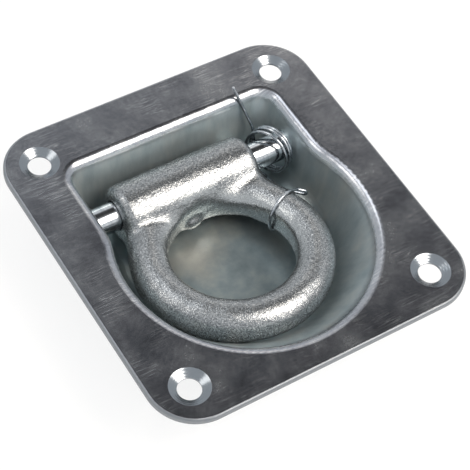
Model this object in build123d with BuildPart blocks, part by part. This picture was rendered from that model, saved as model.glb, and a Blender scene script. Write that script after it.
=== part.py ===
from build123d import *
import math
import os

# Recessed lashing ring: a pressed pan with a flange, a hinge pin, a forged ring and a torsion spring.
# Millimetres. The origin is the centre of the four screw holes, on the flange's underside.
# X runs along the pin, +Y towards the pin's side of the pan, +Z up out of the floor it is let into.

os.makedirs("parts", exist_ok=True)

# Sheet and flange
sheet = 2.0
side_land = 18.0
front_land = 8.5
back_land = 18.1
flange_corner = 15.0
flange_edge_roll = 0.7
screw_inset = 12.0
screw_hole_radius = 3.6
countersink_radius = 6.2
countersink_angle = 120.0

# Recess, measured on its inner face, with its outline taken where the walls would meet the flange's top
barrel_floor_gap = 0.5
barrel_back_gap = 5.3
waist_step = 4.0
floor_waist_step = 0.75
side_draft = 2.0
back_draft = 10.0
front_slope = 41.0
mouth_corner = 4.0
floor_corner = 10.0
waist_blend = 22.0
floor_roll = 6.5
lip_roll = 3.2
underside_roll = 1.0

# Hinge pin, a plain rivet through the two side walls
pin_diameter = 9.3
pin_depth = 12.0
pin_hole_clearance = 0.05
pin_head_radius = 6.6
pin_head_thickness = 2.0
pin_head_roll = 1.2
pin_head_gap = 0.1

# Forged ring: an eye of round stock on a barrel, bored off centre for the pin
stock_radius = 6.15
back_stock_radius = 5.9
eye_radius = 25.3
eye_side_room = 8.55
eye_front_room = 16.7
eye_back_set = 4.7
arm_seat = 0.85
barrel_radius = 9.8
barrel_left_gap = 9.3
barrel_spring_gap = 14.9
arm_inset = 7.64
barrel_end_roll = 3.0
barrel_forward = 0.7
barrel_down = 0.7
bore_clearance = 0.4
arm_blend = 1.2
rest_gap = 1.05

# Torsion spring
wire_diameter = 1.0
coil_radius = 7.5
coil_length = 5.25
coil_tilt = 22.0
coil_wall_gap = 0.2
close_turns = 2
spread_turns = 1
close_gap = 0.08
spring_seat_gap = 0.2
leg_rise = 5.5
leg_bend = 6.0
leg_length = 16.5
leg_lean = 0.3
hook_angle = 19.0
hook_start = 60.0
hook_end = 222.0
hook_gap = 0.3
hook_reach = 4.0
hook_bend = 0.8
hook_loop_ahead = 2.6
hook_loop_away = 2.4
hook_loop_top = 19.0
hook_loop_foot = 7.0
leg_beside = -4.0
leg_away = 0.4
leg_along_arm = 6.0
coil_exit = 4.0
coil_exit_bend = 3.0

# Places that follow from the sizes: the recess goes round the ring, and the flange goes round the recess
eye_reach = eye_radius + eye_back_set
eye_drop = barrel_down + barrel_radius - arm_seat - stock_radius
bowl_radius = eye_radius + stock_radius + eye_side_room
mouth_half_width = bowl_radius - waist_step
recess_depth = pin_depth + barrel_down + barrel_radius + barrel_floor_gap
pin_to_back = barrel_radius - barrel_forward + barrel_back_gap
waist_narrowing = (waist_step - floor_waist_step) / recess_depth
bowl_draft = math.degrees(math.atan(math.tan(math.radians(side_draft)) + waist_narrowing))
recess_length = eye_front_room + eye_radius + eye_reach + pin_to_back
flange_width = 2 * (mouth_half_width + side_land)
flange_length = front_land + recess_length + back_land
mouth_front = front_land - flange_length / 2
mouth_back = flange_length / 2 - back_land
screw_spacing_x = flange_width - 2 * screw_inset
screw_spacing_y = flange_length - 2 * screw_inset
barrel_length = 2 * mouth_half_width - barrel_left_gap - barrel_spring_gap
ring_offset_x = (barrel_left_gap - barrel_spring_gap) / 2
pin_y = mouth_back - pin_to_back
top_face = sheet
pin_z = top_face - pin_depth
pin_radius = pin_diameter / 2
wire_radius = wire_diameter / 2
bore_radius = pin_radius + bore_clearance


def tan(angle):
    """Tangent of an angle in degrees."""
    return math.tan(math.radians(angle))


def sin(angle):
    """Sine of an angle in degrees."""
    return math.sin(math.radians(angle))


def cos(angle):
    """Cosine of an angle in degrees."""
    return math.cos(math.radians(angle))


def side_wall_x(depth, skin=0.0):
    """Half the width between the straight side walls at a depth below the flange's top."""
    return mouth_half_width + skin / cos(side_draft) - depth * tan(side_draft)


def recess_outline(depth, skin, corner):
    """Keyhole outline of the recess at a depth, grown outwards by a thickness of sheet."""
    half_width = side_wall_x(depth, skin)
    back = mouth_back + skin / cos(back_draft) - depth * tan(back_draft)
    front = mouth_front - skin / cos(front_slope) + depth * tan(front_slope)
    radius = bowl_radius + skin / cos(bowl_draft) - depth * tan(bowl_draft)
    bowl_y = front + radius
    with BuildSketch(Plane.XY.offset(top_face - depth)) as outline:
        with Locations((0, bowl_y)):
            Circle(radius)
        with Locations((0, (back + bowl_y) / 2)):
            Rectangle(2 * half_width, back - bowl_y)
        with Locations((0, (back + front) / 2)):
            Rectangle(3 * radius, back - front, mode=Mode.INTERSECT)
        levels = outline.vertices().group_by(Axis.Y)
        fillet(levels[-2], waist_blend)
        fillet(outline.vertices().group_by(Axis.Y)[-1], corner)
    return outline.sketch


def recess_block(skin):
    """The form of the recess as a solid, grown outwards by a thickness of sheet."""
    with BuildPart() as block:
        add(recess_outline(0, skin, mouth_corner + skin))
        add(recess_outline(recess_depth + skin, skin, floor_corner + skin))
        loft(ruled=True)
        fillet(block.faces().sort_by(Axis.Z)[0].edges(), floor_roll + skin)
    return block.part


# Pan: the flange and the cup below it, pressed from one sheet
outer_cup = recess_block(sheet)
inner_cup = recess_block(0.0)

with BuildPart() as pan:
    with BuildSketch(Plane.XY):
        RectangleRounded(flange_width, flange_length, flange_corner)
    extrude(amount=sheet)
    add(outer_cup)
    underside = pan.faces().filter_by(Plane.XY).filter_by(lambda face: abs(face.center().Z) < 0.01)
    fillet(underside.sort_by(SortBy.AREA)[-1].inner_wires().edges(), underside_roll)
    add(inner_cup, mode=Mode.SUBTRACT)
    top = pan.faces().sort_by(Axis.Z)[-1]
    fillet(top.inner_wires().edges(), lip_roll)
    top = pan.faces().sort_by(Axis.Z)[-1]
    fillet(top.outer_wire().edges(), flange_edge_roll)
    with Locations((0, 0, top_face)):
        with GridLocations(screw_spacing_x, screw_spacing_y, 2, 2):
            CounterSinkHole(screw_hole_radius, countersink_radius, counter_sink_angle=countersink_angle)
    with Locations(Plane.YZ.location * Location((pin_y, pin_z, 0))):
        Cylinder(pin_radius + pin_hole_clearance, 2 * flange_width, mode=Mode.SUBTRACT)
pan.part.label = "pan"

# Pin: a rivet whose heads are set against the outside of the walls
pin_depth_high = pin_depth - pin_head_radius
head_seat_x = side_wall_x(pin_depth_high, sheet) + pin_head_gap

with BuildPart() as pin:
    with BuildSketch(Plane.YZ.offset(-head_seat_x)) as pin_section:
        with Locations((pin_y, pin_z)):
            Circle(pin_radius)
    extrude(amount=2 * head_seat_x)
    with BuildSketch(Plane.YZ.offset(head_seat_x)):
        with Locations((pin_y, pin_z)):
            Circle(pin_head_radius)
    extrude(amount=pin_head_thickness)
    fillet(pin.faces().sort_by(Axis.X)[-1].edges(), pin_head_roll)
    with BuildSketch(Plane.YZ.offset(-head_seat_x)):
        with Locations((pin_y, pin_z)):
            Circle(pin_head_radius)
    extrude(amount=-pin_head_thickness)
    fillet(pin.faces().sort_by(Axis.X)[0].edges(), pin_head_roll)
pin.part.label = "pin"

# Ring: lifted about the pin until the eye's front rests just clear of the sloped front wall
front_reach = eye_reach + eye_radius
wall_distance = (pin_y - mouth_front) * cos(front_slope) - pin_depth * sin(front_slope)
reach = math.hypot(front_reach, eye_drop)
rest_angle = math.degrees(math.acos((wall_distance - stock_radius - rest_gap) / reach))
rest_tilt = rest_angle - front_slope + math.degrees(math.atan2(eye_drop, front_reach))
ring_plane = Plane(
    origin=(ring_offset_x, pin_y, pin_z),
    x_dir=(1, 0, 0),
    z_dir=(0, sin(rest_tilt), cos(rest_tilt)),
)

# Both arms run from the barrel's ends down to the eye's circle and meet it on a tangent
arm_root_x = barrel_length / 2 - arm_inset
arm_rise = eye_reach - barrel_forward
arm_root_angle = math.atan2(arm_rise, arm_root_x)
arm_angle = math.degrees(arm_root_angle - math.acos(eye_radius / math.hypot(arm_rise, arm_root_x)))
arm_x = eye_radius * cos(arm_angle)
arm_y = eye_radius * sin(arm_angle) - eye_reach
barrel_plane = Plane(
    origin=ring_plane.from_local_coords((-barrel_length / 2, -barrel_forward, -barrel_down)),
    x_dir=(0, 1, 0),
    z_dir=(1, 0, 0),
)

eye_plane = ring_plane.offset(-eye_drop)
barrel_centre = ring_plane.from_local_coords((0, -barrel_forward, -barrel_down))


def lies_on_barrel(edge):
    """Whether an edge follows the barrel's side, as the seams with the eye do."""
    spots = [edge @ (step / 4) - barrel_centre for step in range(5)]
    return all(abs(math.hypot(p.Y, p.Z) - barrel_radius) < 0.01 for p in spots)


with BuildPart() as ring:
    with BuildSketch(barrel_plane):
        Circle(barrel_radius)
    extrude(amount=barrel_length)
    fillet(ring.faces().filter_by(Axis.X).edges(), barrel_end_roll)
    with BuildLine(eye_plane):
        right_arm = Line((arm_root_x, -barrel_forward), (arm_x, arm_y))
        ThreePointArc((arm_x, arm_y), (0, -front_reach), (-arm_x, arm_y))
        Line((-arm_x, arm_y), (-arm_root_x, -barrel_forward))
    with BuildSketch(Plane(origin=right_arm @ 0, z_dir=right_arm % 0)):
        Circle(stock_radius)
    sweep()
    with Locations(eye_plane.location * Location((0, -eye_reach, 0))):
        Torus(eye_radius, back_stock_radius)
    fillet(ring.edges().filter_by(GeomType.BSPLINE).filter_by(lies_on_barrel), arm_blend)
    with BuildSketch(Plane.YZ.offset(ring_offset_x)):
        with Locations((pin_y, pin_z)):
            Circle(bore_radius)
    extrude(amount=barrel_length, both=True, mode=Mode.SUBTRACT)
ring.part.label = "ring"

# Spring: the long leg leans on the back lip's roll, the short one hooks over the right arm
lip_y = mouth_back - lip_roll * tan(back_draft) + lip_roll / cos(back_draft)
lip_z = top_face - lip_roll
lip_distance = math.hypot(lip_y - pin_y, lip_z - pin_z)
lip_bearing = math.degrees(math.atan2(lip_z - pin_z, lip_y - pin_y))
lip_clear = lip_roll + wire_radius + spring_seat_gap
leg_offset = coil_radius * cos(coil_tilt) + coil_length / 2 * sin(coil_tilt)
leg_direction = lip_bearing + math.degrees(math.asin((leg_offset + lip_clear) / lip_distance))
coil_end_angle = leg_direction - 90

wire_clear = stock_radius + hook_gap + wire_radius


def beside_eye(angle, back=0.0):
    """A point round the ring's stock at the hook, set back along the hook's own tangent."""
    out = eye_radius + wire_clear * cos(angle) + back * sin(angle)
    up = wire_clear * sin(angle) - back * cos(angle)
    return eye_plane.from_local_coords((out * cos(hook_angle), out * sin(hook_angle) - eye_reach, up))


def beside_arm(angle, along, away):
    """A point round the right arm, some way from the eye towards the barrel and clear of the stock."""
    out = (wire_clear + away) * cos(angle)
    x = arm_x + out * cos(arm_angle) - along * sin(arm_angle)
    y = arm_y + out * sin(arm_angle) + along * cos(arm_angle)
    return eye_plane.from_local_coords((x, y, (wire_clear + away) * sin(angle)))


# The coil is cocked on the pin, so that its side opposite the long leg leans on the wall
leg_side = Vector(0, cos(coil_end_angle), sin(coil_end_angle))
coil_axis = Vector(cos(coil_tilt), 0, 0) + leg_side * sin(coil_tilt)
coil_wall_x = side_wall_x(pin_depth) - coil_wall_gap - wire_radius - coil_radius * sin(coil_tilt)
coil_middle = Vector(coil_wall_x - coil_length / 2 * cos(coil_tilt), pin_y, pin_z)
coil_frame = Plane(
    origin=coil_middle - coil_axis * (coil_length / 2),
    x_dir=leg_side * cos(coil_tilt) - Vector(sin(coil_tilt), 0, 0),
    z_dir=coil_axis,
)

# It starts at the bottom, spreads for the first turn from the barrel, and ends close wound at the wall
coil_start_angle = -90
close_length = close_turns * (wire_diameter + close_gap)
spread_length = coil_length - close_length
spread_turn_count = spread_turns + (coil_end_angle - coil_start_angle) / 360


def winding(start, angle, turns, length):
    """A helix that starts at a distance along the coil and at an angle round the pin."""
    place = coil_frame.location * Location((0, 0, start), (0, 0, angle - coil_end_angle))
    return place * Helix(length / turns, length, coil_radius)


spread_coil = winding(0, coil_start_angle, spread_turn_count, spread_length)
close_coil = winding(spread_length, coil_end_angle, close_turns, close_length)
coil_entry = spread_coil @ 0
coil_exit_point = close_coil @ 1
leg_knee = coil_exit_point + (close_coil % 1) * leg_rise
leg_way = Vector(-leg_lean, cos(leg_direction), sin(leg_direction))

with BuildPart() as spring:
    with BuildLine() as wire_path:
        ThreePointArc(
            beside_eye(hook_end),
            beside_eye((hook_start + hook_end) / 2),
            beside_eye(hook_start),
        )
        FilletPolyline(
            beside_eye(hook_start),
            beside_eye(hook_start, hook_reach),
            beside_arm(hook_loop_top, -hook_loop_ahead, hook_loop_away),
            beside_arm(hook_loop_foot, -hook_loop_ahead, hook_loop_away),
            beside_arm(leg_beside, leg_along_arm, leg_away),
            coil_entry - (spread_coil % 0) * coil_exit,
            coil_entry,
            radius=(hook_bend, hook_bend, hook_bend, leg_bend, coil_exit_bend),
        )
        add(spread_coil)
        add(close_coil)
        FilletPolyline(coil_exit_point, leg_knee, leg_knee + leg_way * leg_length, radius=leg_bend)
    wire = wire_path.wires()[0]
    with BuildSketch(Plane(origin=wire @ 0, z_dir=wire % 0)):
        Circle(wire_radius)
    sweep(path=wire)
spring.part.label = "spring"
coil_turns = close_turns + spread_turn_count
print(f"The ring rests {rest_tilt:.2f} degrees up and the coil has {coil_turns:.2f} turns")

export_step(pan.part, "parts/pan.step")
export_step(pin.part, "parts/pin.step")
export_step(ring.part, "parts/ring.step")
export_step(spring.part, "parts/spring.step")
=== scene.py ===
"""Recessed lashing ring for a trailer or van floor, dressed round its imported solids.

A pressed, zinc plated pan carries a rivet pin, a shot-blasted forged ring and a torsion spring. Sizes are in
millimetres and degrees unless a comment says otherwise, in the same frame as the solids.
"""

from __future__ import annotations

import logging
import math
from dataclasses import dataclass
from enum import Enum

import bpy
import numpy as np
from mathutils import Matrix, Vector

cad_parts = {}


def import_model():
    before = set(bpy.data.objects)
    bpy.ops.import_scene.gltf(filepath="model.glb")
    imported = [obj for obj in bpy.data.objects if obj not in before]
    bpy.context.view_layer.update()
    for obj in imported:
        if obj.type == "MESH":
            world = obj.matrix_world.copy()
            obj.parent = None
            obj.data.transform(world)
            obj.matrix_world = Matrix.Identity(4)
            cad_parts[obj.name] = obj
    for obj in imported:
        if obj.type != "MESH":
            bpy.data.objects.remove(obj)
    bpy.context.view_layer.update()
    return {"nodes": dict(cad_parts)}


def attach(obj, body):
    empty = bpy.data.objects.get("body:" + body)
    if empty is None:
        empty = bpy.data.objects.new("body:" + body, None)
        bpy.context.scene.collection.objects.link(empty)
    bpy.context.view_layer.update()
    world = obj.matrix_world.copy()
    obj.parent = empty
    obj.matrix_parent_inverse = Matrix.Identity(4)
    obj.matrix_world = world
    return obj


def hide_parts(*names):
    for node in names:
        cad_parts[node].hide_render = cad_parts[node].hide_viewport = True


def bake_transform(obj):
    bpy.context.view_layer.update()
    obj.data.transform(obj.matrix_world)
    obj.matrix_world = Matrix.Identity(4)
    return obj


LOG = logging.getLogger("lashing_ring")
MM = 0.001

Triple = tuple[float, float, float]
Stops = tuple[tuple[float, str], ...]
Socket = bpy.types.NodeSocket

# Settings that many nodes share, and the range that holds most of a noise's levels
COLOURS = {"data_type": "RGBA"}
TIMES = {"operation": "MULTIPLY"}
SMOOTH = {"interpolation_type": "SMOOTHSTEP"}
MIDDLE = {"From_Min": 0.3, "From_Max": 0.7}

# Steps in the rounding at a tube's end
DOME = 7


class Body(Enum):
    """The two rigid bodies of the hinge."""

    PAN = "pan"
    RING = "ring"


class Slot(Enum):
    """Names for the new pieces' material slots, which nothing here gives them."""

    RING = "ring_steel"
    SPRING = "spring_wire"


def linear(hex_code: str) -> tuple[float, float, float, float]:
    """Turn an sRGB hex colour into linear light.

    Args:
        hex_code: six hex digits, red first.

    Returns:
        Red, green, blue and an alpha of 1.
    """
    parts = [int(hex_code[i : i + 2], 16) / 255 for i in (0, 2, 4)]
    light = [c / 12.92 if c <= 0.04045 else ((c + 0.055) / 1.055) ** 2.4 for c in parts]
    return (*light, 1.0)


def per_metre(size: float) -> float:
    """A pattern's scale, which is its cells in a metre, from the real size of one cell."""
    return 1.0 / (size * MM)


class Nodes:
    """The node tree of a material or a world, with one call that adds a node, its settings and its links."""

    def __init__(self, owner: bpy.types.Material | bpy.types.World) -> None:
        """Take over an owner's tree and empty it.

        Args:
            owner: the material or world.
        """
        owner.use_nodes = True
        self.owner = owner
        self.tree = owner.node_tree
        self.tree.nodes.clear()

    def add(
        self, kind: str, settings: dict | None = None, stops: Stops = (), **inputs: object
    ) -> bpy.types.Node:
        """Add a node.

        Args:
            kind: the node's type name, without its ShaderNode prefix.
            settings: attributes to set on the node.
            stops: places and sRGB hex colours for a node that holds a colour ramp.
            inputs: socket name (spaces as underscores) or number (as s0, s1) to a value or an output socket.

        Returns:
            The new node.
        """
        node = self.tree.nodes.new("ShaderNode" + kind)
        for key, value in (settings or {}).items():
            setattr(node, key, value)
        for number, (place, colour) in enumerate(stops):
            elements = node.color_ramp.elements
            element = elements[number] if number < len(elements) else elements.new(place)
            element.position, element.color = place, linear(colour)
        for key, value in inputs.items():
            by_number = key[0] == "s" and key[1:].isdigit()
            socket = node.inputs[int(key[1:])] if by_number else node.inputs[key.replace("_", " ")]
            if isinstance(value, Socket):
                self.tree.links.new(value, socket)
            else:
                socket.default_value = value
        return node


@dataclass(frozen=True)
class SoftBox:
    """A square lamp that faces the object. Its size and distance are in metres, its power in watts."""

    name: str
    towards: Triple
    size: float
    watts: float
    tint: str
    distance: float = 0.9

    def hang(self) -> None:
        """Put the lamp in the scene."""
        data = bpy.data.lights.new(self.name, "AREA")
        data.size = self.size
        data.energy = self.watts
        data.color = linear(self.tint)[:3]
        obj = bpy.data.objects.new(self.name, data)
        way = Vector(self.towards).normalized()
        obj.location = way * self.distance
        obj.rotation_mode = "QUATERNION"
        obj.rotation_quaternion = way.to_track_quat("Z", "Y")
        bpy.context.scene.collection.objects.link(obj)


@dataclass(frozen=True)
class Studio:
    """White floor, soft lamps, pale surroundings and the camera of the photograph.

    The flat flange mirrors one small part of the surroundings, and in the photograph that part is dark. So
    the surroundings have a gap there: dark_from and dark_to are cosines of the angles at which it begins and
    is full.
    """

    # The camera's place and axes, fitted to the flange's edges and holes
    camera_at: Triple = (-186.2, -224.2, 389.1)
    right: Triple = (0.8445, -0.5256, 0.1030)
    up: Triple = (0.3768, 0.7196, 0.5832)
    forward: Triple = (0.3807, 0.4537, -0.8058)
    lens: float = 123.36
    sensor: float = 36.0

    # The floor's half side is in metres, and its glow is a share of plain white
    floor_z: float = -23.05
    floor_half: float = 3.0
    floor_glow: float = 0.8

    ambient: float = 0.98
    dark_towards: Triple = (0.325, 0.26, 0.91)
    dark_level: float = 0.05
    dark_from: float = 0.875
    dark_to: float = 0.98

    lamps: tuple[SoftBox, ...] = (
        SoftBox("front_box", (0.38, -0.45, 0.80), 0.5, 8.0, "fff4e8"),
        SoftBox("back_box", (-0.12, 0.50, 0.86), 0.3, 0.75, "ffffff"),
        SoftBox("side_box", (-0.60, 0.34, 0.72), 0.3, 0.9, "fff8f0"),
        SoftBox("corner_box", (0.56, 0.62, 0.55), 0.24, 0.2, "fff2e2"),
    )

    def camera(self) -> None:
        """Place the camera on the fitted axes, made exactly square to one another."""
        data = bpy.data.cameras.new("camera")
        data.lens = self.lens
        data.sensor_width = self.sensor
        data.clip_start = 0.01
        data.clip_end = 20.0
        obj = bpy.data.objects.new("camera", data)
        axes = np.array([self.right, self.up, np.negative(self.forward)]).T
        square = np.linalg.qr(axes)[0]
        square *= np.sign(np.sum(square * axes, axis=0))
        obj.matrix_world = Matrix.Translation(Vector(self.camera_at) * MM) @ Matrix(square.tolist()).to_4x4()
        bpy.context.scene.collection.objects.link(obj)
        bpy.context.scene.camera = obj

    def world(self) -> None:
        """Even pale surroundings, white to the camera, with the dark gap that the flat steel mirrors."""
        world = bpy.data.worlds.new("studio")
        bpy.context.scene.world = world
        nodes = Nodes(world)
        way = nodes.add("TexCoord").outputs["Generated"]
        towards = Vector(self.dark_towards).normalized()
        turn = nodes.add("VectorMath", {"operation": "DOT_PRODUCT"}, s0=way, s1=towards).outputs["Value"]
        span = {"From_Min": self.dark_from, "From_Max": self.dark_to}
        gap = nodes.add("MapRange", SMOOTH, Value=turn, To_Min=self.ambient, To_Max=self.dark_level, **span)
        direct = nodes.add("LightPath").outputs["Is Camera Ray"]
        seen = nodes.add("Math", {"operation": "MAXIMUM"}, s0=direct, s1=gap.outputs[0])
        tint = nodes.add("Mix", COLOURS, s0=direct, s6=linear("f7f9fb"), s7=linear("ffffff"))
        back = nodes.add("Background", s0=tint.outputs[2], s1=seen.outputs[0])
        nodes.add("OutputWorld", s0=back.outputs[0])

    def floor(self) -> None:
        """A large pale floor just under the pan, near white to the camera but for the object's shadow."""
        mesh = bpy.data.meshes.new("floor")
        half, z = self.floor_half, self.floor_z * MM
        corners = [(-half, -half, z), (half, -half, z), (half, half, z), (-half, half, z)]
        mesh.from_pydata(corners, [], [(0, 1, 2, 3)])
        nodes = Nodes(bpy.data.materials.new("floor paper"))
        skin = nodes.add("BsdfPrincipled", Base_Color=linear("f4f4f4"), Roughness=0.9)
        glow = nodes.add("Emission", Color=linear("ffffff"), Strength=1.0)
        direct = nodes.add("LightPath").outputs["Is Camera Ray"]
        share = nodes.add("Math", TIMES, s0=direct, s1=self.floor_glow)
        mix = nodes.add("MixShader", s0=share.outputs[0], s1=skin.outputs[0], s2=glow.outputs[0])
        nodes.add("OutputMaterial", s0=mix.outputs[0])
        mesh.materials.append(nodes.owner)
        obj = bpy.data.objects.new("floor", mesh)
        bpy.context.scene.collection.objects.link(obj)

    def build(self) -> None:
        """Make the camera, the surroundings, the lamps and the floor."""
        bpy.context.scene.view_settings.view_transform = "Standard"
        self.camera()
        self.world()
        for lamp in self.lamps:
            lamp.hang()
        self.floor()


@dataclass(frozen=True)
class ZincSheet:
    """Zinc plated cold-rolled steel sheet, deep drawn.

    The flange keeps the sheet's rolled skin, a glossy blue-grey, cloudy, with fine handling scratches. The
    recess was stretched over the die, so it is duller and streaked, and its walls are painted paler than the
    flange, which is painted light. The turned countersinks are bright, and the sheared outer edge is matt.
    """

    # Where the finishes lie on the pan
    hole_x: float = 42.0
    hole_y: float = 44.5
    sink_radius: float = 6.35
    sink_blend: float = 0.3
    flange_top: float = 2.0
    half_flange: tuple[float, float] = (54.0, 56.5)
    flange_corner: float = 15.0
    sheared: float = 0.75
    sheared_blend: float = 0.3
    rolled_above: float = 0.05
    lip_starts: float = 0.8
    drawn_below: float = 4.0
    floor_from: float = -16.5
    floor_to: float = -20.8

    # Real sizes of the patterns. The cutter's rings are wider apart than its real feed and the hairlines are
    # broader than real ones, so that both show in the picture.
    cloud: float = 14.285714
    speck: float = 0.9090909
    scratch_length: float = 25.0
    scratch_pitch: float = 1.3157895
    scratch_patch: float = 10.5263158
    streak_width: float = 5.882353
    streak_length: float = 26.31579
    stain: float = 23.809524
    peel: float = 2.3809524
    tool_pitch: float = 0.8

    # Each family of scratches: its angle, the shift that sets it apart, and how much of the surface it spares
    families: tuple[Triple, ...] = (
        (-24.0, 0.3, 0.5),
        (62.0, 3.1, 0.42),
        (-47.0, 5.7, 0.4),
        (97.0, 8.9, 0.45),
    )

    rolled: Stops = ((0.3, "858890"), (0.5, "979aa1"), (0.72, "abaeb2"))
    # Painted light: the walls' colours are paler than the flange's
    walls: Stops = ((0.3, "aebdc2"), (0.5, "c2ced1"), (0.75, "d8dedd"))
    floor: Stops = ((0.3, "748388"), (0.5, "8a979b"), (0.72, "a6aeac"))
    bare_steel: str = "eef0f2"
    oil_stain: str = "aea393"
    sheared_edge: str = "7f8489"
    turned_cone: str = "82888e"

    def hairlines(self, nodes: Nodes, place: Socket, turn: float, seed: float, bare: float) -> Socket:
        """Fine scratches in one direction, drawn as the middle level of a noise that is stretched along it.

        Args:
            nodes: the material's tree.
            place: object coordinates.
            turn: the scratches' angle from X.
            seed: shift that sets one family apart from the next.
            bare: how much of the surface, from 0 to 1, they leave out.

        Returns:
            A mask, 1 on a scratch.
        """
        long, wide = per_metre(self.scratch_length), per_metre(self.scratch_pitch)
        pose = {"Location": (seed, seed, 0.0), "Rotation": (0.0, 0.0, math.radians(-turn))}
        turned = nodes.add("Mapping", Vector=place, Scale=(long, wide, long), **pose).outputs[0]
        grain = nodes.add("TexNoise", Vector=turned, Scale=1.0, Detail=1.0, Roughness=0.4).outputs[0]
        off = nodes.add("Math", {"operation": "SUBTRACT"}, s0=grain, s1=0.5).outputs[0]
        near = nodes.add("Math", {"operation": "ABSOLUTE"}, s0=off).outputs[0]
        line = nodes.add("MapRange", Value=near, From_Max=0.018, To_Min=1.0, To_Max=0.0).outputs[0]
        patch = per_metre(self.scratch_patch) + seed
        where = nodes.add("TexNoise", Vector=place, Scale=patch, Detail=2.0, Roughness=0.5).outputs[0]
        least = 0.35 + 0.3 * bare
        some = nodes.add("MapRange", Value=where, From_Min=least, From_Max=least + 0.2).outputs[0]
        return nodes.add("Math", TIMES, s0=line, s1=some).outputs[0]

    def scratches(self, nodes: Nodes, place: Socket) -> Socket:
        """All the families of hairlines laid over one another.

        Args:
            nodes: the material's tree.
            place: object coordinates.

        Returns:
            A mask, 1 on a scratch.
        """
        first, *others = [self.hairlines(nodes, place, *family) for family in self.families]
        for line in others:
            first = nodes.add("Math", {"operation": "MAXIMUM"}, s0=first, s1=line).outputs[0]
        return first

    def sinks(self, nodes: Nodes, axes: bpy.types.Node) -> tuple[Socket, Socket]:
        """Mask of the four countersinks, and the distance from the nearest hole's centre.

        Args:
            nodes: the material's tree.
            axes: the node that separates object coordinates.

        Returns:
            The mask, 1 inside a countersink, and the distance in metres.
        """
        off = []
        for output, centre in ((axes.outputs[0], self.hole_x), (axes.outputs[1], self.hole_y)):
            side = nodes.add("Math", {"operation": "ABSOLUTE"}, s0=output).outputs[0]
            off.append(nodes.add("Math", {"operation": "SUBTRACT"}, s0=side, s1=centre * MM).outputs[0])
        flat = nodes.add("CombineXYZ", s0=off[0], s1=off[1])
        reach = nodes.add("VectorMath", {"operation": "LENGTH"}, s0=flat.outputs[0]).outputs["Value"]
        rim, inner = self.sink_radius * MM, (self.sink_radius - self.sink_blend) * MM
        mask = nodes.add("MapRange", Value=reach, From_Min=rim, From_Max=inner)
        return mask.outputs[0], reach

    def edge(self, nodes: Nodes, place: Socket) -> Socket:
        """Mask of the flange's sheared edge.

        The distance inside a rounded rectangle is the corner's radius less the length of what |x| and |y|
        have beyond the corners' centres.

        Args:
            nodes: the material's tree.
            place: object coordinates.

        Returns:
            A mask, 1 on the edge.
        """
        corner = tuple((half - self.flange_corner) * MM for half in self.half_flange)
        side = nodes.add("VectorMath", {"operation": "ABSOLUTE"}, s0=place).outputs[0]
        past = nodes.add("VectorMath", {"operation": "SUBTRACT"}, s0=side, s1=(*corner, 1.0)).outputs[0]
        out = nodes.add("VectorMath", {"operation": "MAXIMUM"}, s0=past, s1=(0.0, 0.0, 0.0)).outputs[0]
        reach = nodes.add("VectorMath", {"operation": "LENGTH"}, s0=out).outputs["Value"]
        inner = (self.flange_corner - self.sheared) * MM
        ends = {"From_Min": inner, "From_Max": inner + self.sheared_blend * MM}
        return nodes.add("MapRange", Value=reach, **ends).outputs[0]

    def recess_colour(self, nodes: Nodes, place: Socket, level: Socket, cloud: Socket) -> Socket:
        """Colour of the recess: walls painted pale as painted light, streaked down the draw, a darker floor,
        and faint tan stains.

        Args:
            nodes: the material's tree.
            place: object coordinates.
            level: height.
            cloud: the rolled skin's clouding.

        Returns:
            The colour.
        """
        wide = per_metre(self.streak_width)
        scale = (wide, wide, per_metre(self.streak_length))
        down = nodes.add("Mapping", Vector=place, Scale=scale).outputs[0]
        streak = nodes.add("TexNoise", Vector=down, Scale=1.0, Detail=5.0, Roughness=0.6).outputs[0]
        # The walls' paler colour is painted light
        walls = nodes.add("ValToRGB", stops=self.walls, s0=streak).outputs[0]
        bottom = {"From_Min": self.floor_from * MM, "From_Max": self.floor_to * MM}
        deep = nodes.add("MapRange", SMOOTH, Value=level, **bottom).outputs[0]
        floor = nodes.add("ValToRGB", stops=self.floor, s0=cloud).outputs[0]
        recess_tone_and_light = nodes.add("Mix", COLOURS, s0=deep, s6=walls, s7=floor).outputs[2]
        spots = nodes.add("TexNoise", Vector=place, Scale=per_metre(self.stain), Detail=3.0, Roughness=0.5)
        tan = nodes.add("MapRange", Value=spots.outputs[0], From_Min=0.5, From_Max=0.72, To_Max=0.35)
        return nodes.add("Mix", COLOURS, s0=tan.outputs[0], s6=recess_tone_and_light, s7=linear(self.oil_stain)).outputs[2]

    def relief(self, nodes: Nodes, place: Socket, scratched: Socket, sink: Socket, reach: Socket) -> Socket:
        """Fine relief: the plating's orange peel, then the scratches cut in it, then the cutter's rings.

        The rings' height is the sine of the distance from the hole's centre.

        Args:
            nodes: the material's tree.
            place: object coordinates.
            scratched: mask of the scratches.
            sink: mask of the countersinks.
            reach: distance from the nearest hole's centre.

        Returns:
            The normal.
        """
        turns = 2.0 * math.pi / (self.tool_pitch * MM)
        phase = nodes.add("Math", TIMES, s0=reach, s1=turns).outputs[0]
        ring = nodes.add("Math", {"operation": "SINE"}, s0=phase).outputs[0]
        rings = nodes.add("Math", TIMES, s0=ring, s1=sink).outputs[0]
        peel = nodes.add("TexNoise", Vector=place, Scale=per_metre(self.peel), Detail=3.0, Roughness=0.55)
        plated = nodes.add("Bump", Strength=0.3, Distance=0.03 * MM, Height=peel.outputs[0]).outputs[0]
        cut = {"Strength": 0.45, "Distance": 0.01 * MM}
        marks = nodes.add("Bump", {"invert": True}, Height=scratched, Normal=plated, **cut).outputs[0]
        return nodes.add("Bump", Strength=0.35, Distance=0.015 * MM, Height=rings, Normal=marks).outputs[0]

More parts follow.
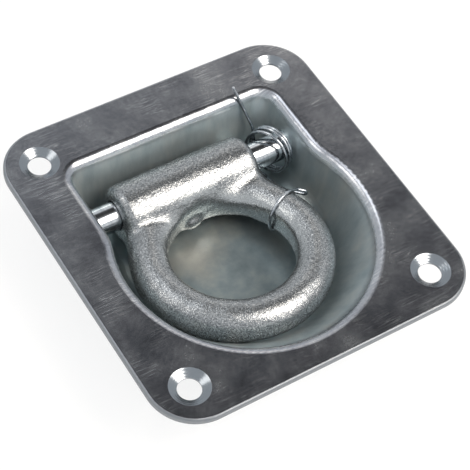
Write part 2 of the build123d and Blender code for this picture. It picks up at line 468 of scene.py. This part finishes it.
    def make(self) -> bpy.types.Material:
        """Lay the finishes over one another by height and by distance from the holes and the edge.

        Returns:
            The sheet's material.
        """
        nodes = Nodes(bpy.data.materials.new("zinc plated drawn sheet"))
        place = nodes.add("TexCoord").outputs["Object"]
        axes = nodes.add("SeparateXYZ", Vector=place)
        level = axes.outputs[2]
        stretched = (self.flange_top - self.drawn_below) * MM
        depth = {"From_Min": (self.flange_top + self.rolled_above) * MM, "From_Max": stretched}
        drawn = nodes.add("MapRange", SMOOTH, Value=level, **depth).outputs[0]
        sink, reach = self.sinks(nodes, axes)
        edge = self.edge(nodes, place)
        scratched = self.scratches(nodes, place)

        wide, fine = per_metre(self.cloud), per_metre(self.speck)
        cloud = nodes.add("TexNoise", Vector=place, Scale=wide, Detail=8.0, Roughness=0.66).outputs[0]
        speck = nodes.add("TexNoise", Vector=place, Scale=fine, Detail=3.0, Roughness=0.6).outputs[0]
        fleck = nodes.add("Math", {"operation": "MULTIPLY_ADD"}, s0=speck, s1=0.3, s2=-0.15).outputs[0]
        mottle = nodes.add("Math", {"operation": "ADD"}, s0=cloud, s1=fleck).outputs[0]
        rolled = nodes.add("ValToRGB", stops=self.rolled, s0=mottle).outputs[0]
        worn = nodes.add("Math", TIMES, s0=scratched, s1=0.55).outputs[0]
        flange = nodes.add("Mix", COLOURS, s0=worn, s6=rolled, s7=linear(self.bare_steel)).outputs[2]
        recess = self.recess_colour(nodes, place, level, cloud)
        # Below the flange the recess's colour takes over, its pale walls painted light
        sheet = nodes.add("Mix", COLOURS, s0=drawn, s6=flange, s7=recess).outputs[2]
        dulled = nodes.add("Mix", COLOURS, s0=edge, s6=sheet, s7=linear(self.sheared_edge)).outputs[2]
        colour = nodes.add("Mix", COLOURS, s0=sink, s6=dulled, s7=linear(self.turned_cone)).outputs[2]

        # Glossy flange, duller walls, patchy with the clouding, matt sheared edge and smooth cones
        metal = nodes.add("MapRange", Value=drawn, To_Min=1.0, To_Max=0.8).outputs[0]
        lip = {"From_Min": (self.flange_top - self.lip_starts) * MM, "From_Max": stretched}
        gloss = nodes.add("MapRange", Value=level, To_Min=0.24, To_Max=0.37, **lip).outputs[0]
        patchy = nodes.add("Math", {"operation": "MULTIPLY_ADD"}, s0=mottle, s1=0.2, s2=-0.1).outputs[0]
        uneven = nodes.add("Math", {"operation": "ADD"}, s0=gloss, s1=patchy).outputs[0]
        matt = nodes.add("MapRange", Value=edge, To_Min=uneven, To_Max=0.5).outputs[0]
        rough = nodes.add("MapRange", Value=sink, To_Min=matt, To_Max=0.2).outputs[0]

        normal = self.relief(nodes, place, scratched, sink, reach)
        shader = nodes.add(
            "BsdfPrincipled", Base_Color=colour, Metallic=metal, Roughness=rough, Normal=normal
        )
        nodes.add("OutputMaterial", s0=shader.outputs[0])
        return nodes.owner


@dataclass(frozen=True)
class HingeFrame:
    """The ring's own axes at rest: X along the pin, Y away from the eye, and Z square to the eye."""

    origin: Triple = (-2.8, 24.0, -10.0)
    tilt: float = 7.4969

    def axes(self) -> np.ndarray:
        """Rows are the ring's X, Y and Z in the part's frame, turned about X by the tilt."""
        s, c = math.sin(math.radians(self.tilt)), math.cos(math.radians(self.tilt))
        return np.array([[1.0, 0.0, 0.0], [0.0, c, -s], [0.0, s, c]])

    def out(self, points: np.ndarray) -> np.ndarray:
        """Carry points from the ring's axes to the part's frame."""
        return np.asarray(points, float) @ self.axes() + np.array(self.origin)


@dataclass(frozen=True)
class BlastedForging:
    """Drop-forged steel, shot blasted and zinc plated: a peened silver whose dents flash light or dark.

    Inside the eye, where the flash was trimmed off and the strap rubs, the skin is smoother and paler, its
    paleness partly worn metal and partly painted sheen.
    """

    hinge: HingeFrame = HingeFrame()
    reach: float = 30.0
    band_from: float = 23.2
    band_to: float = 21.0

    # Sizes of the grit's grain, its dents and the pits between them, whose darkness is painted shade, each a
    # little wider than in the real skin, so that they show in the picture
    grit: float = 0.36
    dent: float = 0.45
    pit: float = 0.5142857

    silver: Stops = ((0.32, "62666a"), (0.5, "8d9194"), (0.68, "c0c2c3"))
    # Dark flecks: painted shade in the blasted skin's pits
    pit_painted_shade: str = "484b4e"
    # Paler tone inside the eye: rubbed skin with painted sheen
    rubbed_and_sheen_tone: str = "b3b8ba"

    def rubbed_and_sheen(self, nodes: Nodes, place: Socket) -> Socket:
        """Mask of the band inside the eye, by distance from the eye's axis.

        Args:
            nodes: the material's tree.
            place: object coordinates.

        Returns:
            A mask, 1 on the band.
        """
        eye = self.hinge.out([0.0, -self.reach, 0.0]) * MM
        pose = {"Location": eye.tolist(), "Rotation": (math.radians(-self.hinge.tilt), 0.0, 0.0)}
        own = nodes.add("Mapping", {"vector_type": "TEXTURE"}, Vector=place, **pose)
        flat = nodes.add("VectorMath", TIMES, s0=own.outputs[0], s1=(1.0, 1.0, 0.0))
        radius = nodes.add("VectorMath", {"operation": "LENGTH"}, s0=flat.outputs[0]).outputs["Value"]
        ends = {"From_Min": self.band_from * MM, "From_Max": self.band_to * MM}
        return nodes.add("MapRange", SMOOTH, Value=radius, **ends).outputs[0]

    def make(self) -> bpy.types.Material:
        """Tone the silver by the grit, paint shade into its pits, pale the band where the strap rubs, partly
        as painted sheen, and dent the skin.

        Returns:
            The forging's material.
        """
        nodes = Nodes(bpy.data.materials.new("shot blasted forging"))
        place = nodes.add("TexCoord").outputs["Object"]
        fine, coarse = per_metre(self.grit), per_metre(self.pit)
        grit = nodes.add("TexNoise", Vector=place, Scale=fine, Detail=2.0, Roughness=0.6).outputs[0]
        cell = nodes.add("TexVoronoi", {"feature": "F1"}, Vector=place, Scale=per_metre(self.dent))
        pit = nodes.add("TexNoise", Vector=place, Scale=coarse, Detail=2.0, Roughness=0.5).outputs[0]
        rubbed_and_sheen = self.rubbed_and_sheen(nodes, place)

        tone = nodes.add("ValToRGB", stops=self.silver, s0=grit).outputs[0]
        # Dark flecks: painted shade in the pits
        fleck = nodes.add("MapRange", Value=pit, From_Min=0.54, From_Max=0.62, To_Max=0.5).outputs[0]
        dark = nodes.add("Mix", COLOURS, s0=fleck, s6=tone, s7=linear(self.pit_painted_shade)).outputs[2]
        # Paler band inside the eye: rubbed skin with painted sheen
        half = nodes.add("Math", TIMES, s0=rubbed_and_sheen, s1=0.5).outputs[0]
        colour = nodes.add("Mix", COLOURS, s0=half, s6=dark, s7=linear(self.rubbed_and_sheen_tone)).outputs[2]
        rough = nodes.add("MapRange", Value=grit, To_Min=0.34, To_Max=0.2, **MIDDLE).outputs[0]

        left = nodes.add("Math", {"operation": "MULTIPLY_ADD"}, s0=rubbed_and_sheen, s1=-0.7, s2=1.0).outputs[0]
        height = nodes.add("Math", TIMES, s0=grit, s1=left).outputs[0]
        dents = nodes.add("Bump", Strength=0.4, Distance=0.1 * MM, Height=cell.outputs["Distance"]).outputs[0]
        peened = nodes.add("Bump", Strength=0.6, Distance=0.12 * MM, Height=height, Normal=dents).outputs[0]
        shader = nodes.add("BsdfPrincipled", Base_Color=colour, Metallic=0.92, Roughness=rough, Normal=peened)
        nodes.add("OutputMaterial", s0=shader.outputs[0])
        return nodes.owner


@dataclass(frozen=True)
class DrawnRod:
    """Cold-drawn steel rod, bright zinc plated: a near mirror with faint lines round it."""

    line: float = 0.45
    line_length: float = 8.3333333
    tone: Stops = ((0.3, "a9aeb4"), (0.7, "d2d6d9"))

    def make(self) -> bpy.types.Material:
        """Tone, polish and score the rod by one noise that is drawn out round it.

        Returns:
            The pin's material.
        """
        nodes = Nodes(bpy.data.materials.new("bright drawn pin"))
        place = nodes.add("TexCoord").outputs["Object"]
        long = per_metre(self.line_length)
        across = nodes.add("Mapping", Vector=place, Scale=(per_metre(self.line), long, long)).outputs[0]
        lines = nodes.add("TexNoise", Vector=across, Scale=1.0, Detail=3.0, Roughness=0.6).outputs[0]
        tone = nodes.add("ValToRGB", stops=self.tone, s0=lines).outputs[0]
        rough = nodes.add("MapRange", Value=lines, To_Min=0.2, To_Max=0.1, **MIDDLE).outputs[0]
        bump = nodes.add("Bump", Strength=0.3, Distance=0.006 * MM, Height=lines).outputs[0]
        shader = nodes.add("BsdfPrincipled", Base_Color=tone, Metallic=1.0, Roughness=rough, Normal=bump)
        nodes.add("OutputMaterial", s0=shader.outputs[0])
        return nodes.owner


@dataclass(frozen=True)
class SpringWire:
    """Hard-drawn spring wire, zinc plated: smooth and bright, with a slightly cloudy skin."""

    cloud: float = 1.4
    tone: Stops = ((0.3, "858c94"), (0.7, "c6cace"))

    def make(self) -> bpy.types.Material:
        """Tone, polish and dimple the wire by one cloudy noise.

        Returns:
            The wire's material.
        """
        nodes = Nodes(bpy.data.materials.new("plated spring wire"))
        place = nodes.add("TexCoord").outputs["Object"]
        wide = per_metre(self.cloud)
        cloud = nodes.add("TexNoise", Vector=place, Scale=wide, Detail=3.0, Roughness=0.6).outputs[0]
        tone = nodes.add("ValToRGB", stops=self.tone, s0=cloud).outputs[0]
        rough = nodes.add("MapRange", Value=cloud, To_Min=0.3, To_Max=0.18, **MIDDLE).outputs[0]
        skin = nodes.add("Bump", Strength=0.2, Distance=0.01 * MM, Height=cloud).outputs[0]
        shader = nodes.add("BsdfPrincipled", Base_Color=tone, Metallic=1.0, Roughness=rough, Normal=skin)
        nodes.add("OutputMaterial", s0=shader.outputs[0])
        return nodes.owner


def dress(obj: bpy.types.Object, material: bpy.types.Material) -> None:
    """Give an object one material in every slot.

    Args:
        obj: the object.
        material: its finish.
    """
    if not obj.material_slots:
        obj.data.materials.append(material)
    for slot in obj.material_slots:
        slot.material = material


def unit(vectors: np.ndarray) -> np.ndarray:
    """Scale each vector of an array to length 1."""
    return vectors / np.linalg.norm(vectors, axis=-1, keepdims=True)


def put_mesh(name: str, points: np.ndarray, faces: np.ndarray) -> bpy.types.Object:
    """Make a smooth-shaded mesh object at the origin.

    Args:
        name: the object's name.
        points: (n, 3) places in millimetres.
        faces: (m, 4) corner numbers; a corner equal to the one before it is dropped, as at a pole.

    Returns:
        The object, with its faces turned outwards.
    """
    a, b, c, d = (points[faces[:, k]] for k in range(4))
    volume = np.sum(np.cross(a, b) * c) + np.sum(np.cross(a, c) * d)
    if volume < 0:
        faces = faces[:, ::-1]
    keep = faces != np.roll(faces, 1, axis=1)
    corners = faces[keep].astype(np.int32)
    starts = np.concatenate([[0], np.cumsum(keep.sum(axis=1))[:-1]]).astype(np.int32)
    mesh = bpy.data.meshes.new(name)
    mesh.vertices.add(len(points))
    mesh.vertices.foreach_set("co", (points * MM).ravel())
    mesh.loops.add(len(corners))
    mesh.loops.foreach_set("vertex_index", corners)
    mesh.polygons.add(len(faces))
    mesh.polygons.foreach_set("loop_start", starts)
    mesh.update(calc_edges=True)
    mesh.polygons.foreach_set("use_smooth", np.ones(len(mesh.polygons), dtype=bool))
    obj = bpy.data.objects.new(name, mesh)
    bpy.context.scene.collection.objects.link(obj)
    return obj


def grid_faces(rows: int, columns: int, closed: bool) -> np.ndarray:
    """Quads of a grid whose columns close on themselves.

    Args:
        rows: stations along the path.
        columns: points round each station.
        closed: whether the last station joins the first.

    Returns:
        (m, 4) corner numbers.
    """
    i, j = np.meshgrid(np.arange(rows if closed else rows - 1), np.arange(columns), indexing="ij")
    up, side = (i + 1) % rows, (j + 1) % columns
    quads = [i * columns + j, i * columns + side, up * columns + side, up * columns + j]
    return np.stack(quads, axis=-1).reshape(-1, 4)


def along(path: np.ndarray, step: float) -> np.ndarray:
    """Points at even steps along a line of points, found on its running length.

    Args:
        path: (n, 3) points.
        step: distance between two stations.

    Returns:
        (m, 3) points.
    """
    run = np.concatenate([[0.0], np.cumsum(np.linalg.norm(np.diff(path, axis=0), axis=1))])
    spots = np.linspace(0.0, run[-1], max(4, int(run[-1] / step)))
    return np.stack([np.interp(spots, run, path[:, k]) for k in range(3)], axis=1)


def rounded(corners: np.ndarray, radii: tuple[float, ...]) -> np.ndarray:
    """A line through corners, each inner one cut by an arc that touches both its sides.

    An arc of radius r, where the line turns by t, starts r tan(t / 2) before its corner.

    Args:
        corners: (n, 3) points.
        radii: an arc's radius for each inner corner.

    Returns:
        (m, 3) points.
    """
    pieces = [corners[:1]]
    for before, corner, after, radius in zip(corners[:-2], corners[1:-1], corners[2:], radii):
        come, leave = unit(corner - before), unit(after - corner)
        turn = math.acos(float(np.clip(come @ leave, -1.0, 1.0)))
        centre = corner + unit(leave - come) * radius / math.cos(turn / 2)
        first = unit(corner - come * radius * math.tan(turn / 2) - centre)
        angle = np.linspace(0.0, turn, 24)[:, None]
        pieces.append(centre + radius * (first * np.cos(angle) + come * np.sin(angle)))
    return np.concatenate([*pieces, corners[-1:]])


def tube(
    path: np.ndarray, radius: float, steady: np.ndarray, sides: int, roll: float | None = None
) -> tuple[np.ndarray, np.ndarray]:
    """A round profile carried along a path and closed at both ends.

    A point is the path's point + r (cos a * side + sin a * lift). Past each end of the path r falls from the
    radius along a quarter circle of the roll, which makes a half ball when the roll is the whole radius.

    Args:
        path: (n, 3) stations of the centre line.
        radius: the profile's radius.
        steady: a direction that the path never runs along; the profile's first axis is square to it.
        sides: points round the profile.
        roll: radius of the rounding at each end, the whole radius where none is given.

    Returns:
        The points and their quads.
    """
    roll = radius if roll is None else roll
    way = unit(np.gradient(path, axis=0))
    side = unit(np.cross(way, steady))
    lift = np.cross(side, way)
    dome = np.linspace(0.0, math.pi / 2, DOME)
    order = np.concatenate([np.zeros(DOME, int), np.arange(1, len(path) - 1), np.full(DOME, len(path) - 1)])
    push = np.concatenate([-np.sin(dome[::-1]), np.zeros(len(path) - 2), np.sin(dome)]) * roll
    fall = np.concatenate([np.cos(dome[::-1]), np.ones(len(path) - 2), np.cos(dome)])
    reach = np.maximum(radius - roll + roll * fall, 1e-3)
    centres = path[order] + push[:, None] * way[order]
    angle = np.linspace(0.0, 2 * math.pi, sides, endpoint=False)
    across, upward = side[order][:, None], lift[order][:, None]
    section = np.cos(angle)[None, :, None] * across + np.sin(angle)[None, :, None] * upward
    points = (centres[:, None] + reach[:, None, None] * section).reshape(-1, 3)
    ring, rows = np.arange(sides), len(centres)
    after, last = (ring + 1) % sides, (rows - 1) * sides
    start_pole, end_pole = np.full(sides, rows * sides), np.full(sides, rows * sides + 1)
    near = np.stack([start_pole, after, ring, ring], axis=1)
    far = np.stack([end_pole, last + ring, last + after, last + after], axis=1)
    faces = np.concatenate([grid_faces(rows, sides, False), near, far])
    return np.concatenate([points, centres[[0, -1]]]), faces


def soft_min(a: np.ndarray, b: np.ndarray, blend: float | np.ndarray) -> np.ndarray:
    """The smaller of two distances, rounded over where they are within blend of each other.

    Args:
        a: distances from one form.
        b: distances from another.
        blend: width of the rounding.

    Returns:
        Distances from both forms joined.
    """
    share = np.maximum(blend - np.abs(a - b), 0.0) / blend
    return np.minimum(a, b) - share * share * blend / 4


def soft_max(a: np.ndarray, b: np.ndarray, blend: float) -> np.ndarray:
    """The larger of two distances, rounded over in the same way, for what one form leaves of another."""
    return -soft_min(-a, -b, blend)


@dataclass(frozen=True)
class ForgedRing:
    """The forging: an eye of round stock whose arms run into a bored barrel.

    The skin is where one distance field is zero. The field is the smallest distance to the barrel, the arms
    and the eye, each joined to the next by a soft web, as metal flows in a die, and the flash is trimmed off
    flat inside and outside the eye.
    """

    hinge: HingeFrame = HingeFrame()
    stock: float = 6.15
    back_stock: float = 5.9
    eye: float = 25.3
    reach: float = 30.0
    drop: float = 3.5
    barrel: float = 9.8
    half_barrel: float = 23.9
    barrel_roll: float = 3.0
    barrel_at: tuple[float, float] = (-0.7, -0.7)
    arm_root: tuple[float, float] = (16.26, -0.7)
    arm_turn: float = 20.0
    bore: float = 5.05

    # What the die and the trimming add: webs, wider on the right, two flats with rounded rims, and a nub
    left_web: float = 1.8
    right_web: float = 2.8
    web_span: float = 40.0
    crotch_web: float = 1.6
    trim_inside: float = 19.65
    inside_round: float = 0.6
    trim_outside: float = 5.6
    trim_round: float = 0.5
    nub_at: Triple = (-2.1, -9.9, -5.8)
    nub: float = 2.1
    nub_stretch: Triple = (0.7, 1.1, 1.0)
    nub_blend: float = 2.0

    # Each layer of unevenness: its longest and shortest wave, its depth and how many waves
    waves: tuple[tuple[float, float, float, int], ...] = ((9.0, 4.0, 0.035, 18), (2.4, 1.1, 0.016, 48))
    seed: int = 7

    # The fused mesh, how often it is pulled onto the field, the step for slopes, the drill, the sharp edges
    voxel: float = 0.42
    pulls: int = 6
    probe: float = 0.02
    half_drill: float = 40.0
    crease: float = 50.0

    def field(self, p: np.ndarray) -> np.ndarray:
        """Signed distance from the forging's skin, negative inside.

        Args:
            p: (n, 3) points on the ring's axes.

        Returns:
            (n,) distances in millimetres.
        """
        x, y, z = np.abs(p[:, 0]), p[:, 1], p[:, 2] + self.drop
        from_eye = np.hypot(x, y + self.reach)
        turn = math.radians(self.arm_turn)
        tip = np.array([self.eye * math.cos(turn), self.eye * math.sin(turn) - self.reach])
        arm = np.array(self.arm_root) - tip
        span = np.clip(((x - tip[0]) * arm[0] + (y - tip[1]) * arm[1]) / (arm @ arm), 0.0, 1.0)
        to_arm = np.hypot(x - tip[0] - span * arm[0], y - tip[1] - span * arm[1])
        beside = ((x - tip[0]) * arm[1] - (y - tip[1]) * arm[0]) / np.linalg.norm(arm)
        on_arc = np.arctan2(y + self.reach, x) < turn
        flat = np.where(on_arc, np.abs(from_eye - self.eye), to_arm)
        outward = np.where(on_arc, from_eye - self.eye, beside)
        front = soft_max(np.hypot(flat, z) - self.stock, outward - self.trim_outside, self.trim_round)
        back = np.hypot(from_eye - self.eye, z) - self.back_stock
        loop = soft_min(front, back, self.crotch_web)
        from_axis = np.hypot(y - self.barrel_at[0], p[:, 2] - self.barrel_at[1])
        radial = from_axis - (self.barrel - self.barrel_roll)
        axial = x - (self.half_barrel - self.barrel_roll)
        over = np.hypot(np.maximum(radial, 0.0), np.maximum(axial, 0.0))
        barrel = over + np.minimum(np.maximum(radial, axial), 0.0) - self.barrel_roll
        across = np.clip(0.5 + p[:, 0] / self.web_span, 0.0, 1.0)
        whole = soft_min(loop, barrel, self.left_web + (self.right_web - self.left_web) * across)
        whole = soft_max(whole, self.trim_inside - from_eye, self.inside_round)
        from_nub = (p - np.array(self.nub_at)) * np.array(self.nub_stretch)
        nub = np.linalg.norm(from_nub, axis=1) - self.nub
        return soft_min(whole, nub, self.nub_blend)

    def slope(self, p: np.ndarray) -> np.ndarray:
        """The field's steepest direction, from its differences over a short step each way.

        Args:
            p: (n, 3) points on the ring's axes.

        Returns:
            (n, 3) unit vectors.
        """
        steps = self.probe * np.eye(3)
        return unit(np.stack([self.field(p + step) - self.field(p - step) for step in steps], axis=1))

    def hammering(self, p: np.ndarray) -> np.ndarray:
        """Unevenness of the forged and blasted skin: a sum of waves with seeded directions and lengths.

        Args:
            p: (n, 3) points on the ring's axes.

        Returns:
            (n,) heights in millimetres.
        """
        chance = np.random.default_rng(self.seed)
        height = np.zeros(len(p))
        for longest, shortest, depth, count in self.waves:
            ways = unit(chance.normal(size=(count, 3)))
            pace = 2 * math.pi / chance.uniform(shortest, longest, count)
            waves = np.cos(p @ (ways * pace[:, None]).T + chance.uniform(0.0, 2 * math.pi, count))
            height += waves.sum(axis=1) * depth / math.sqrt(count / 2)
        return height

    def rough_shape(self) -> bpy.types.Object:
        """Barrel, arms, eye and nub as closed surfaces that cross.

        Each is a round profile along its centre line; the eye's is (R + r cos b) (cos a, sin a), r sin b.

        Returns:
            The object, with one shell for each form.
        """
        upright, turn = np.array([0.0, 0.0, 1.0]), math.radians(self.arm_turn)
        angle = np.linspace(turn, -math.pi - turn, 120)
        arc = np.stack([self.eye * np.cos(angle), self.eye * np.sin(angle) - self.reach], axis=1)
        line = np.concatenate([[self.arm_root], arc, [(-self.arm_root[0], self.arm_root[1])]])
        centre_line = np.column_stack([line, np.full(len(line), -self.drop)])
        arms = tube(along(centre_line, 1.0), self.stock, upright, 40)
        round_eye = np.linspace(0.0, 2 * math.pi, 160, endpoint=False)[:, None]
        section = np.linspace(0.0, 2 * math.pi, 40, endpoint=False)[None, :]
        wide = self.eye + self.back_stock * np.cos(section)
        level = self.back_stock * np.sin(section) - self.drop + 0.0 * round_eye
        eye = np.stack([wide * np.cos(round_eye), wide * np.sin(round_eye) - self.reach, level], axis=-1)
        half = np.array([self.half_barrel - self.barrel_roll, 0.0, 0.0])
        straight = np.linspace(-1.0, 1.0, 60)[:, None] * half
        barrel = tube(straight + np.array([0.0, *self.barrel_at]), self.barrel, upright, 64, self.barrel_roll)
        short = np.linspace(-1.0, 1.0, 5)[:, None] * np.array([1.0, 0.0, 0.0])
        nub = tube(short + np.array(self.nub_at), self.nub * 0.9, upright, 24)
        shells = [arms, (eye.reshape(-1, 3), grid_faces(160, 40, True)), barrel, nub]
        counts = np.cumsum([0] + [len(points) for points, _ in shells[:-1]])
        points = np.concatenate([points for points, _ in shells])
        faces = np.concatenate([quads + count for (_, quads), count in zip(shells, counts)])
        return put_mesh("forged_ring", points, faces)

    def build(self, material: bpy.types.Material) -> bpy.types.Object:
        """Fuse the rough shape, pull its skin onto the field, bore it and hang it on the ring's body.

        Args:
            material: the forging's finish.

        Returns:
            The finished ring.
        """
        ring = self.rough_shape()
        fuse = ring.modifiers.new("fuse", "REMESH")
        fuse.mode = "VOXEL"
        fuse.voxel_size = self.voxel * MM
        self.apply(ring)
        mesh = ring.data
        flat = np.empty(len(mesh.vertices) * 3)
        mesh.vertices.foreach_get("co", flat)
        p = flat.reshape(-1, 3) / MM
        for _ in range(self.pulls):
            p = p - self.slope(p) * np.clip(self.field(p), -1.0, 1.0)[:, None]
        p = p + self.slope(p) * self.hammering(p)[:, None]
        mesh.vertices.foreach_set("co", (self.hinge.out(p) * MM).ravel())
        mesh.update()
        axis = self.hinge.out(np.linspace(-1.0, 1.0, 9)[:, None] * np.array([self.half_drill, 0.0, 0.0]))
        drill = put_mesh("drill", *tube(axis, self.bore, np.array([0.0, 0.0, 1.0]), 96))
        cut = ring.modifiers.new("bore", "BOOLEAN")
        cut.operation = "DIFFERENCE"
        cut.solver = "EXACT"
        cut.object = drill
        self.apply(ring)
        bpy.data.objects.remove(drill)
        ring.data.polygons.foreach_set("use_smooth", np.ones(len(ring.data.polygons), dtype=bool))
        ring.data.set_sharp_from_angle(angle=math.radians(self.crease))
        dress(ring, material)
        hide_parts("ring")
        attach(ring, Body.RING.value)
        return ring

    @staticmethod
    def apply(obj: bpy.types.Object) -> None:
        """Replace an object's mesh by the one that its modifiers give, and drop the modifiers.

        Args:
            obj: the object.
        """
        graph = bpy.context.evaluated_depsgraph_get()
        graph.update()
        done = bpy.data.meshes.new_from_object(obj.evaluated_get(graph))
        obj.modifiers.clear()
        obj.data = done


@dataclass(frozen=True)
class TorsionSpring:
    """One wire: a long leg on the pan's lip, a coil cocked on the pin and a leg hooked over the right arm."""

    hinge: HingeFrame = HingeFrame()
    wire: float = 0.5
    coil: float = 7.5
    tilt: float = 22.0
    length: float = 5.25
    close_length: float = 2.16
    spread_turns: float = 1.1813
    close_turns: float = 2.0
    middle_x: float = 29.6376
    leg_direction: float = 65.2715
    leg_rise: float = 5.5
    leg_bend: float = 6.0
    leg_length: float = 16.5
    leg_lean: float = 0.3
    clear: float = 6.95
    eye: float = 25.3
    reach: float = 30.0
    drop: float = 3.5
    hook_angle: float = 19.0
    hook_from: float = 222.0
    hook_to: float = 60.0
    hook_reach: float = 4.0
    arm_turn: float = 20.0
    coil_exit: float = 4.0
    hook_bends: tuple[float, ...] = (0.8, 0.8, 0.8, 6.0, 3.0)

    # The bent loop beside the right arm: angle round the arm, distance along it, distance off it
    loop: tuple[Triple, ...] = ((19.0, -2.6, 2.4), (7.0, -2.6, 2.4), (-4.0, 6.0, 0.4))

    # A direction on the ring's axes that the hook never runs along, and the wire's sides
    hook_steady: Triple = (0.33, -0.94, 1.0)
    sides: int = 16

    def coil_axes(self) -> tuple[np.ndarray, np.ndarray, np.ndarray, np.ndarray]:
        """The coil's own axes.

        Returns:
            Its start, the direction from its axis to its last point, that a quarter turn on, and its axis.
        """
        end, lean = math.radians(self.leg_direction - 90.0), math.radians(self.tilt)
        leg_side = np.array([0.0, math.cos(end), math.sin(end)])
        axis = np.array([math.cos(lean), 0.0, 0.0]) + leg_side * math.sin(lean)
        first = leg_side * math.cos(lean) - np.array([math.sin(lean), 0.0, 0.0])
        start = np.array([self.middle_x, *self.hinge.origin[1:]]) - axis * self.length / 2
        return start, first, np.cross(axis, first), axis

    def coil_path(self) -> np.ndarray:
        """The coil's centre line.

        It is start + r (cos a, sin a) on the coil's axes + the climb along its axis. The climb is steady in
        a, fast over the spread turns and slow over the close ones.

        Returns:
            (n, 3) points from the barrel's side to the wall's.
        """
        start, first, second, axis = self.coil_axes()
        spread, close = np.linspace(0.0, 1.0, 260), np.linspace(0.0, 1.0, 440)[1:]
        turns = np.concatenate([(spread - 1.0) * self.spread_turns, close * self.close_turns])
        wide = self.length - self.close_length
        climb = np.concatenate([spread * wide, wide + close * self.close_length])
        angle = (2 * math.pi * turns)[:, None]
        return start + self.coil * (np.cos(angle) * first + np.sin(angle) * second) + climb[:, None] * axis

    def beside_eye(self, angle: np.ndarray, back: float = 0.0) -> np.ndarray:
        """Points round the eye's stock at the hook.

        Args:
            angle: degrees round the stock, from its outer side up over its top.
            back: how far a point is set back along the hook's own run.

        Returns:
            Points in the part's frame.
        """
        a, h = np.radians(angle), math.radians(self.hook_angle)
        out = self.eye + self.clear * np.cos(a) + back * np.sin(a)
        lift = self.clear * np.sin(a) - back * np.cos(a)
        x, y = out * math.cos(h), out * math.sin(h) - self.reach
        return self.hinge.out(np.stack([x, y, lift - self.drop], axis=-1))

    def beside_arm(self, angle: float, along_arm: float, away: float) -> np.ndarray:
        """A point round the right arm.

        Args:
            angle: degrees round the arm, from its outer side up over its top.
            along_arm: distance from the eye towards the barrel.
            away: how far the wire stands off.

        Returns:
            The point in the part's frame.
        """
        a, t = math.radians(angle), math.radians(self.arm_turn)
        out = self.eye + (self.clear + away) * math.cos(a)
        x = out * math.cos(t) - along_arm * math.sin(t)
        y = out * math.sin(t) + along_arm * math.cos(t) - self.reach
        return self.hinge.out([x, y, (self.clear + away) * math.sin(a) - self.drop])

    def hook_path(self, entry: np.ndarray, way_in: np.ndarray) -> np.ndarray:
        """The short leg's centre line: the hook's arc over the arm, its bent loop, and the run to the coil.

        Args:
            entry: where the coil starts.
            way_in: the coil's direction there.

        Returns:
            (n, 3) points.
        """
        arc = self.beside_eye(np.linspace(self.hook_from, self.hook_to, 60))
        bends = [self.beside_eye(np.array(self.hook_to), self.hook_reach)]
        bends += [self.beside_arm(*place) for place in self.loop]
        corners = np.array([arc[-1], *bends, entry - way_in * self.coil_exit, entry])
        return np.concatenate([arc[:-1], rounded(corners, self.hook_bends)])

    def build(self, material: bpy.types.Material) -> list[bpy.types.Object]:
        """Make the two legs and the coil, which sits between the pan and the ring.

        Args:
            material: the wire's finish.

        Returns:
            The long leg, the coil and the hooked leg.
        """
        coil = self.coil_path()
        knee = coil[-1] + unit(coil[-1] - coil[-2]) * self.leg_rise
        climb = math.radians(self.leg_direction)
        way = np.array([-self.leg_lean, math.cos(climb), math.sin(climb)])
        tip = knee + way * (self.leg_length - self.wire)
        long_leg = along(rounded(np.array([coil[-1], knee, tip]), (self.leg_bend,)), 0.3)
        hook = along(self.hook_path(coil[0], unit(coil[1] - coil[0])), 0.2)
        pin_way = np.array([1.0, 0.0, 0.0])
        across_hook = np.array(self.hook_steady) @ self.hinge.axes()
        surfaces = {
            "spring_long_leg": tube(long_leg, self.wire, pin_way, self.sides),
            "spring_coil": tube(along(coil, 0.25), self.wire, pin_way, self.sides),
            "spring_hook": tube(hook, self.wire, across_hook, self.sides),
        }
        made = [put_mesh(name, *surface) for name, surface in surfaces.items()]
        for obj in made:
            dress(obj, material)
            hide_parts("spring")
        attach(made[0], Body.PAN.value)
        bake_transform(made[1])
        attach(made[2], Body.RING.value)
        return made


@dataclass(frozen=True)
class PressedPan:
    """The pan and its rivet pin, whose solids already have the real shape: they get their finishes."""

    def build(
        self, nodes: dict[str, bpy.types.Object], sheet: bpy.types.Material, rod: bpy.types.Material
    ) -> list[bpy.types.Object]:
        """Dress the pan and the pin.

        Args:
            nodes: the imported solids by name.
            sheet: the pan's finish.
            rod: the pin's finish.

        Returns:
            The two dressed objects.
        """
        dress(nodes["pan"], sheet)
        dress(nodes["pin"], rod)
        return [nodes["pan"], nodes["pin"]]


def main() -> None:
    """Build the studio and the object."""
    logging.basicConfig(level=logging.INFO, format="%(message)s")
    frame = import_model()
    Studio().build()
    made = PressedPan().build(frame["nodes"], ZincSheet().make(), DrawnRod().make())
    made.append(ForgedRing().build(BlastedForging().make()))
    made.extend(TorsionSpring().build(SpringWire().make()))
    for piece in made:
        LOG.info("%s: %d faces", piece.name, len(piece.data.polygons))


if __name__ == "__main__":
    main()
